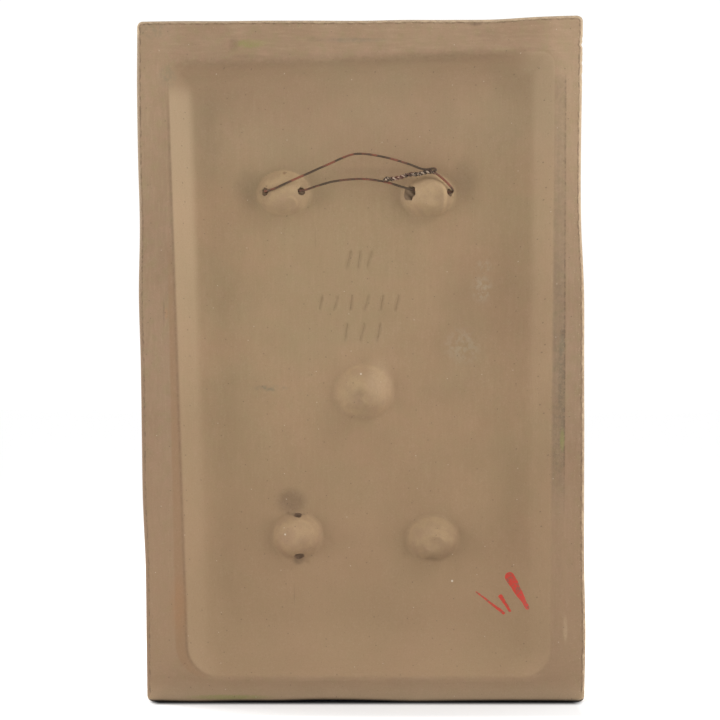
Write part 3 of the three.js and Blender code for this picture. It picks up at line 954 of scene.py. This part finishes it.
# Strokes of the sponge run up and down the sides and across the ends.
at_ends = (clay_z + 100).maths("ABSOLUTE").between(140, 155)
lengthwise = clay_place.vector("MULTIPLY", (1, 1, 0.1)).noise(900, detail=4, roughness=0.6)
crosswise = clay_place.vector("MULTIPLY", (0.1, 1, 1)).noise(900, detail=4, roughness=0.6)
sponged = lengthwise * (1 - at_ends) + crosswise * at_ends
sponging = 0.05 + on_rim * 0.06
layers += [
    (DEEPER, sponged.until(0.34, 0.5), sponging),
    (LIGHTER, sponged.between(0.5, 0.68), sponging),
]

# The foot of the slab stood nearer the fire, and is redder and a little paler.
layers += [
    (REDDER, clay_z.until(-230, -100), 0.45),
    (LIGHTER, clay_z.until(-272, -120) * 0.14 + (1 - on_rim) * 0.07, 1),
]

# Painted light: the side slopes of the hollow are painted paler where the side lights fall on them,
# most on the left and higher up, and the upper part of the hollow below the top arris a little paler.
at_right = clay_x.between(74, 90)
higher_up = clay_z.between(-170, 0)
below_arris = clay_x * TOP_ARRIS_RISE + TOP_ARRIS - clay_z
on_slope = in_arris.between(-0.4, 0.6)
side_slope = on_slope * in_arris.until(8, 13)
left_slope = side_slope * clay_x.until(-85, -68) * below_arris.between(8, 20)
layers += [
    (LIGHTER, left_slope, 0.16 + higher_up * 0.34),
    (LIGHTER, side_slope * at_right, 0.1 + higher_up * 0.2),
    (GREY_SLIP_AND_LIGHT, on_slope * below_arris.until(30, 75), 0.12),
]

# The rim is deeper in its lower part and paler at its very foot, and up both its sides it is
# painted paler, painted light.
layers += [
    (LIGHTER, on_rim * clay_z.until(-274, -262), 0.5),
    (DEEPER, on_rim * clay_z.until(-80, 0), 0.14),
    (LIGHTER, on_rim * clay_x.between(85, 100) * clay_z.between(-100, 30), 0.19),
    (LIGHTER, on_rim * clay_x.until(-100, -90) * clay_z.between(-60, 40), 0.1),
]

# The shoulder is redder on the left, and grey with ash on the right.
at_left = clay_x.until(-90, -70)
on_shoulder = in_shoulder.between(-0.6, 0.4) * on_rim
ash_fall = clay_z.until(36, 41) * clay_z.between(-190, -150) * at_right
ash_growth = 0.26 + clay_z.until(-120, -20) * 0.16
layers += [
    (REDDER, on_shoulder * at_left * clay_z.until(-90, -30), 0.6),
    (BROWN_ASH, on_shoulder * ash_fall * ash_growth, 0.55 + broken * 0.45),
]

# A soft dark line follows the left arris and another the step at the right; the one along the top
# arris is painted shade, where the top slope faces down.
left_line = (in_arris + 0.5).near(0, 1.1) * at_left * clay_z.until(10, 35)
right_line = in_shoulder.near(0.1, 0.7) * ash_fall
top_arris_shade = (below_arris - 1).near(0, 4.5) * clay_x.until(50, 95) * clay_x.between(-99, -85)
layers += [
    (DARK_DIRT_AND_SHADE, left_line, 0.16 + broken * 0.14),
    (DARK_DIRT_AND_SHADE, right_line, 0.14 + broken * 0.3),
    (DEEPER, top_arris_shade, 0.16 + broken * 0.16),
]

# The bosses are a paler clay than the slab, with painted light where they face up and on the ridges
# the fingers pushed up. Their holes are painted dark, painted shade.
on_boss = attribute["boss_height"].between(0.2, 2)
boss_patches = clay_place.noise(130, detail=4, roughness=0.6).between(0.38, 0.62)
boss_top_highlight = attribute["boss_top_light"] * (0.15 + clay_z.between(-100, -30) * 0.27)
in_hole = in_edge.until(0.1, 0.5) * clay_y.between(3, 4.5)
layers += [
    (BOSS_CLAY_AND_HIGHLIGHT, on_boss * (0.04 + boss_patches * 0.16) + boss_top_highlight, 1),
    (BOSS_CLAY_AND_HIGHLIGHT, attribute["ridges"].between(0.04, 0.4), 0.42),
    (PINKISH, on_boss * (1 - boss_patches), 0.16),
    (DARK_DIRT_AND_SHADE, in_hole, 0.55),
]

for x, z, half_x, half_z, colour, strength, brokenness in STAINS:
    cover = broken * (strength * brokenness) + strength * (1 - brokenness)
    layers.append((colour, patch(clay_place, x, z, half_x, half_z) * on_back, cover))
# Painted shade in the thumb marks and the pressed strokes.
layers.append((DARK_DIRT_AND_SHADE, attribute["recess_shade"].between(0, 1.6), 0.4))

# Where the outer arris is rubbed the clay is paler, and it is painted paler still where it catches
# the light, a painted highlight brightest at the top and the right. A dark line runs just inside it.
# The lower sides are only deeper there, painted shade, and the arris the slab stands on is painted
# black, a painted contact shadow.
lit_pale_sides = clay_z.between(56, 62).maths("MAXIMUM", clay_x.between(100, 104))
shaded_lower_sides = clay_z.until(-130, 30) * clay_z.between(-274, -270)
above_foot = clay_z.between(-272, -268)
wandering_edge = in_edge + clay_place.noise(240, detail=4, roughness=0.6) * 1.6 - 0.8
rubbed_and_lit = wandering_edge.until(0.9, 1.5) * clay_y.until(2.2, 4)
crease = (wandering_edge - 1.7).near(0.1, 0.5)
# The net of the specks slants with the depth, or else they would be drawn out along the sides.
slant = clay_place.axis(1) * 0.3
clay_flat = clay_place.node(
    "ShaderNodeCombineXYZ",
    {},
    {0: clay_place.axis(0) + slant, 1: clay_place.axis(2) + slant, 2: 0.0},
)
crumbs = specks(clay_flat, *CRUMBS) * in_edge.until(1.5, 8)
layers += [
    (DEEPER, in_edge.until(1, 1.7) * shaded_lower_sides, 0.55),
    (GREY_SLIP_AND_LIGHT, rubbed_and_lit * above_foot * (1 - shaded_lower_sides), 0.6),
    (PALE_SLIP_AND_HIGHLIGHT, crumbs, 0.2 + lit_pale_sides * 0.5),
    (PALE_SLIP_AND_HIGHLIGHT, rubbed_and_lit * lit_pale_sides, 0.5 + broken * 0.5),
    (CONTACT_SHADOW, in_edge.until(0.4, 1.6) * clay_z.until(-273.5, -272.5), 0.9),
    (DARK_DIRT_AND_SHADE, crease * above_foot, 0.15 + broken * 0.45),
]

# Specks of iron and ash, flecks of grit, and the grain of the clay itself.
layers += [(colour, specks(clay_flat, *net), strength) for colour, *net, strength in SPECKS]
layers += [(SPECK_PALE, patch(clay_place, x, z, radius, radius), on_back) for x, z, radius in GRIT]
grain = clay_place.noise(1300, detail=3, roughness=0.65)
layers += [
    (DARK_DIRT_AND_SHADE, grain.between(0.5, 0.75), 0.1),
    (SPECK_PALE, grain.until(0.25, 0.48), 0.08),
]

# Three strokes of red slip, left with a loaded brush that ran dry, and bent by its wobble.
wobble = clay_place.noise(260, output=1)
wobbly = wobble.vector("MULTIPLY_ADD", (BRUSH_WOBBLE * MM, 0, BRUSH_WOBBLE * MM), clay_place)
brush_x, _, brush_z = millimetres(wobbly)
painted = None
for (x0, z0), (x1, z1), wide0, wide1 in BRUSH_STROKES:
    over = brush_x - (x0 + BRUSH_WOBBLE / 2)
    up = brush_z - (z0 + BRUSH_WOBBLE / 2)
    run_x, run_z = x1 - x0, z1 - z0
    onwards = (over * run_x + up * run_z) * (1 / (run_x**2 + run_z**2))
    onwards = onwards.maths("MINIMUM", 1.0).maths("MAXIMUM", 0.0)
    miss_x = over - onwards * run_x
    miss_z = up - onwards * run_z
    reach = (miss_x * miss_x + miss_z * miss_z) ** 0.5
    half = onwards * (wide1 - wide0) + wide0
    stroke = (reach - half).until(-0.15, 0.12) * on_back
    painted = stroke if painted is None else painted.maths("MAXIMUM", stroke)
dryness = clay_place.noise(900, detail=4, roughness=0.65).between(0.46, 0.66)
layers.append((dryness.blend(RED_SLIP, DRY_RED), painted, 1 - dryness * 0.25))

clay_colour = patches.blend(FLOOR_WARM, FLOOR_OLIVE)
for colour, where, strength in layers:
    clay_colour = clay_colour.tint(colour, where * strength)
feed(clay_shader, "Base Color", clay_colour)
feed(clay_shader, "Roughness", 0.86 + patches * 0.06 - painted * 0.3)
clay_relief = clay_place.noise(320, detail=4, roughness=0.6) * 0.6 + grain * 0.4
feed(clay_shader, "Normal", clay_relief.bump(0.35, CLAY_GRAIN_DEPTH))
plaque.data.materials.clear()
plaque.data.materials.append(clay_material)
plaque.data.polygons.foreach_set("material_index", [0] * len(plaque.data.polygons))
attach(plaque, "root")
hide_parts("plaque")


# -------- hanging wire
# One length of soft iron wire, laced through the two upper bosses and drawn back on itself, with
# both ends twisted together above the right boss. It is bent by hand, and rusty where it rubs.

WIRE_DIAMETER = 1.1
WIRE_SIDES = 12
WIRE_STEP = 0.45
# Knots of the loop, from where one strand of the twist ends to where the other begins.
LOOP_ROUTE = [
    (37.5, 5.2, -8.05),
    (36.9, 5.2, -7.35),
    (31.3, 5.1, -7.7),
    (23.8, 4.9, -5.1),
    (12.8, 4.8, -1.9),
    (1.2, 4.8, 0),
    (-5, 4.8, -0.4),
    (-17.4, 4.4, -5.6),
    (-28, 3.5, -10.4),
    (-36, 2.3, -14),
    (-40, 1.95, -15.9),
    (-43.4, 2.1, -17.4),
    (-46.6, 3.4, -18.4),
    (-48.5, 4.8, -18.8),
    (-48.2, 6.3, -18.9),
    (-46, 6.75, -18.8),
    (-40, 6.6, -18.8),
    (-33.6, 6.5, -18.6),
    (-28.6, 6.4, -18.1),
    (-22, 6.1, -15.9),
    (-13.3, 6.2, -13.6),
    (1.2, 6.4, -12.5),
    (12.8, 6.6, -14.2),
    (20.6, 6.5, -16.5),
    (26, 6.9, -17.9),
    (35, 7.7, -18.7),
    (42, 8.3, -19.1),
    (45.4, 8, -19.1),
    (45.9, 6.6, -18),
    (43.4, 5.6, -14.8),
]
# The knot at the left mouth of the right boss.
TWIST_ROUTE = [
    (37.2, 5.3, -9.2),
    (33.4, 5.1, -9),
    (28.6, 5, -10.1),
    (23.6, 5, -10.4),
    (19, 5.1, -11.9),
    (14.6, 5.1, -12.6),
    (11, 5, -12.5),
]
TWIST_RADIUS = 0.6
TWIST_PITCH = 4.8
TWIST_START_TURN = 2.4
TAIL_SHARE = 0.12
LOOSEST_TAIL = 0.5
TIGHTER_TAIL = 0.35
CURVE_STEPS = 24
# Every second point of the two strands is a knot of the drawn wire.
JOIN = 2
WIRE_UNEVENNESS = 0.03
END_PINCH = 0.8
WIRE_GRAIN_DEPTH = 0.1


def spline(points, step):
    """Points every step along a smooth curve through the given ones, both ends included."""
    knots = np.array(points, float)
    padded = np.vstack([2 * knots[0] - knots[1], knots, 2 * knots[-1] - knots[-2]])
    dense = []
    for i in range(1, len(padded) - 2):
        p0, p1, p2, p3 = padded[i - 1 : i + 3]
        gaps = [np.sqrt(np.linalg.norm(b - a)) for a, b in ((p0, p1), (p1, p2), (p2, p3))]
        slope_in = gaps[1] * ((p1 - p0) / gaps[0] - (p2 - p0) / (gaps[0] + gaps[1])) + p2 - p1
        slope_out = gaps[1] * ((p3 - p2) / gaps[2] - (p3 - p1) / (gaps[1] + gaps[2])) + p2 - p1
        for t in np.linspace(0, 1, CURVE_STEPS, endpoint=False):
            dense.append(
                (2 * t**3 - 3 * t**2 + 1) * p1
                + (t**3 - 2 * t**2 + t) * slope_in
                + (3 * t**2 - 2 * t**3) * p2
                + (t**3 - t**2) * slope_out
            )
    dense = np.array(dense + [knots[-1]])
    run = np.concatenate([[0], np.cumsum(np.linalg.norm(np.diff(dense, axis=0), axis=1))])
    marks = np.linspace(0, run[-1], max(2, round(run[-1] / step) + 1))
    return np.stack([np.interp(marks, run, dense[:, axis]) for axis in range(3)], axis=1)


def twisted_end(turn, flare):
    """One strand of the twist, from where the loop meets it to its free end."""
    axis = spline(TWIST_ROUTE, WIRE_STEP)
    strand = []
    for i, (point, (across, over)) in enumerate(zip(axis, carried_frames(axis))):
        angle = turn + 2 * math.pi * i * WIRE_STEP / TWIST_PITCH
        loose = max(0.0, (i + 1) / len(axis) - 1 + TAIL_SHARE) / TAIL_SHARE
        reach = TWIST_RADIUS + flare * loose**1.5
        strand.append(point + reach * (math.cos(angle) * across + math.sin(angle) * over))
    return np.array(strand)


outgoing = twisted_end(TWIST_START_TURN, LOOSEST_TAIL)
returning = twisted_end(TWIST_START_TURN + math.pi, TIGHTER_TAIL)
# The whole wire, from one free end of the twist round the loop to the other, is drawn again as
# one smooth curve.
wire_knots = np.vstack([outgoing[::-JOIN], LOOP_ROUTE, returning[::JOIN]])
wire_path = spline(wire_knots, WIRE_STEP)
wire_rng = np.random.default_rng(5)
wire_dents = wire_rng.standard_normal((len(wire_path), WIRE_SIDES))
wire_radii = WIRE_DIAMETER / 2 * (1 + WIRE_UNEVENNESS * wire_dents)
wire_radii[[0, -1]] *= END_PINCH
wire = tube("laced_wire", wire_path, wire_radii)

DARK_IRON = srgb(74, 61, 49)
RED_RUST = srgb(106, 58, 38)
BLACK_SCALE = srgb(42, 32, 28)
IRON_GLINT = srgb(168, 148, 128)

wire_material, wire_shader, wire_place = new_material("rusted_iron_wire")
rust = wire_place.noise(160, detail=3).between(0.44, 0.62)
scaled = wire_place.noise(900).between(0.55, 0.75)
wire_colour = rust.blend(DARK_IRON, RED_RUST).tint(BLACK_SCALE, scaled * 0.6)
# The pliers that made the twist left it black, with painted glints along it, painted highlights.
wire_x, _, wire_z = millimetres(wire_place)
in_twist = wire_x.between(10, 12) * wire_x.until(36, 38) * (wire_z + 10.8).near(2.6, 3.2)
twist_glints = wire_place.noise(1100, detail=1).between(0.56, 0.62) * in_twist
wire_colour = wire_colour.tint(BLACK_SCALE, in_twist * 0.4).tint(IRON_GLINT, twist_glints * 0.6)
feed(wire_shader, "Base Color", wire_colour)
feed(wire_shader, "Roughness", 0.42 + rust * 0.3)
feed(wire_shader, "Metallic", 0.75 - rust * 0.6)
feed(wire_shader, "Normal", wire_place.noise(2500).bump(0.35, WIRE_GRAIN_DEPTH))
wire.data.materials.append(wire_material)
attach(wire, "root")
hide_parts("hanging_wire")


# -------- stage and light
# A pale floor in a white tent, and soft boxes: one at each side, well round from the camera, a
# small one high at the right, and one for the front.

FOOT_MIDDLE = 2.2
FOOT_HALF = 109
FLOOR_REACH = 9000
FLOOR_RINGS = 12
FLOOR_SIDES = 48
FLOOR_PALENESS = 0.93
FLOOR_FIBRES = 0.02
WORLD_STRENGTH = 1.06

floor_rings = []
turns = np.arange(FLOOR_SIDES) * 2 * math.pi / FLOOR_SIDES
for ring in range(1, FLOOR_RINGS + 1):
    radius = FLOOR_REACH * (ring / FLOOR_RINGS) ** 2
    level = np.full(FLOOR_SIDES, slab_foot)
    floor_rings.append(np.stack([radius * np.cos(turns), radius * np.sin(turns), level], axis=1))
stage_floor = skinned("floor", floor_rings, closed=False)
floor_material, floor_shader, floor_place = new_material("pale_floor")
# Painted shadow: the sheet is painted darker before and under the slab's foot, for its shadow.
floor_x, floor_y, _ = millimetres(floor_place)
across_foot = (floor_x - FOOT_MIDDLE).near(FOOT_HALF - 6, FOOT_HALF + 1)
shadow_before_foot = floor_y.between(-75, -50) * 0.24
shadow_under_foot = floor_y.between(-14, 0) * 0.75
painted_floor_shadow = across_foot * (shadow_before_foot + shadow_under_foot) * floor_y.until(20, 40)
floor_tone_and_shadow = (floor_place.noise(700) * FLOOR_FIBRES + FLOOR_PALENESS) * (1 - painted_floor_shadow)
feed(floor_shader, "Base Color", floor_tone_and_shadow)
floor_shader.inputs["Roughness"].default_value = 0.9
stage_floor.data.materials.append(floor_material)

# Soft boxes: place, what they face, width, height, power in watts.
SOFT_BOXES = [
    ((1150, -330, -40), (0, 0, -100), 600, 1000, 10),
    ((-1150, -310, -40), (0, 0, -100), 600, 1000, 11.5),
    ((430, -210, 360), (90, 0, 10), 260, 260, 1.6),
    ((-900, 700, 500), (0, 0, -60), 600, 800, 12),
]
for number, (stand, target, wide, tall, power) in enumerate(SOFT_BOXES):
    box_data = bpy.data.lights.new(f"soft_box_{number}", "AREA")
    box_data.shape = "RECTANGLE"
    box_data.size = wide * MM
    box_data.size_y = tall * MM
    box_data.energy = power
    box = linked(f"soft_box_{number}", box_data)
    box.location = Vector(stand) * MM
    facing = Vector(target) - Vector(stand)
    box.rotation_euler = facing.to_track_quat("-Z", "Z").to_euler()

world = bpy.data.worlds.new("studio")
world.use_nodes = True
background = world.node_tree.nodes["Background"]
background.inputs["Color"].default_value = (1, 1, 1, 1)
background.inputs["Strength"].default_value = WORLD_STRENGTH
bpy.context.scene.world = world
bpy.context.scene.view_settings.view_transform = "Standard"
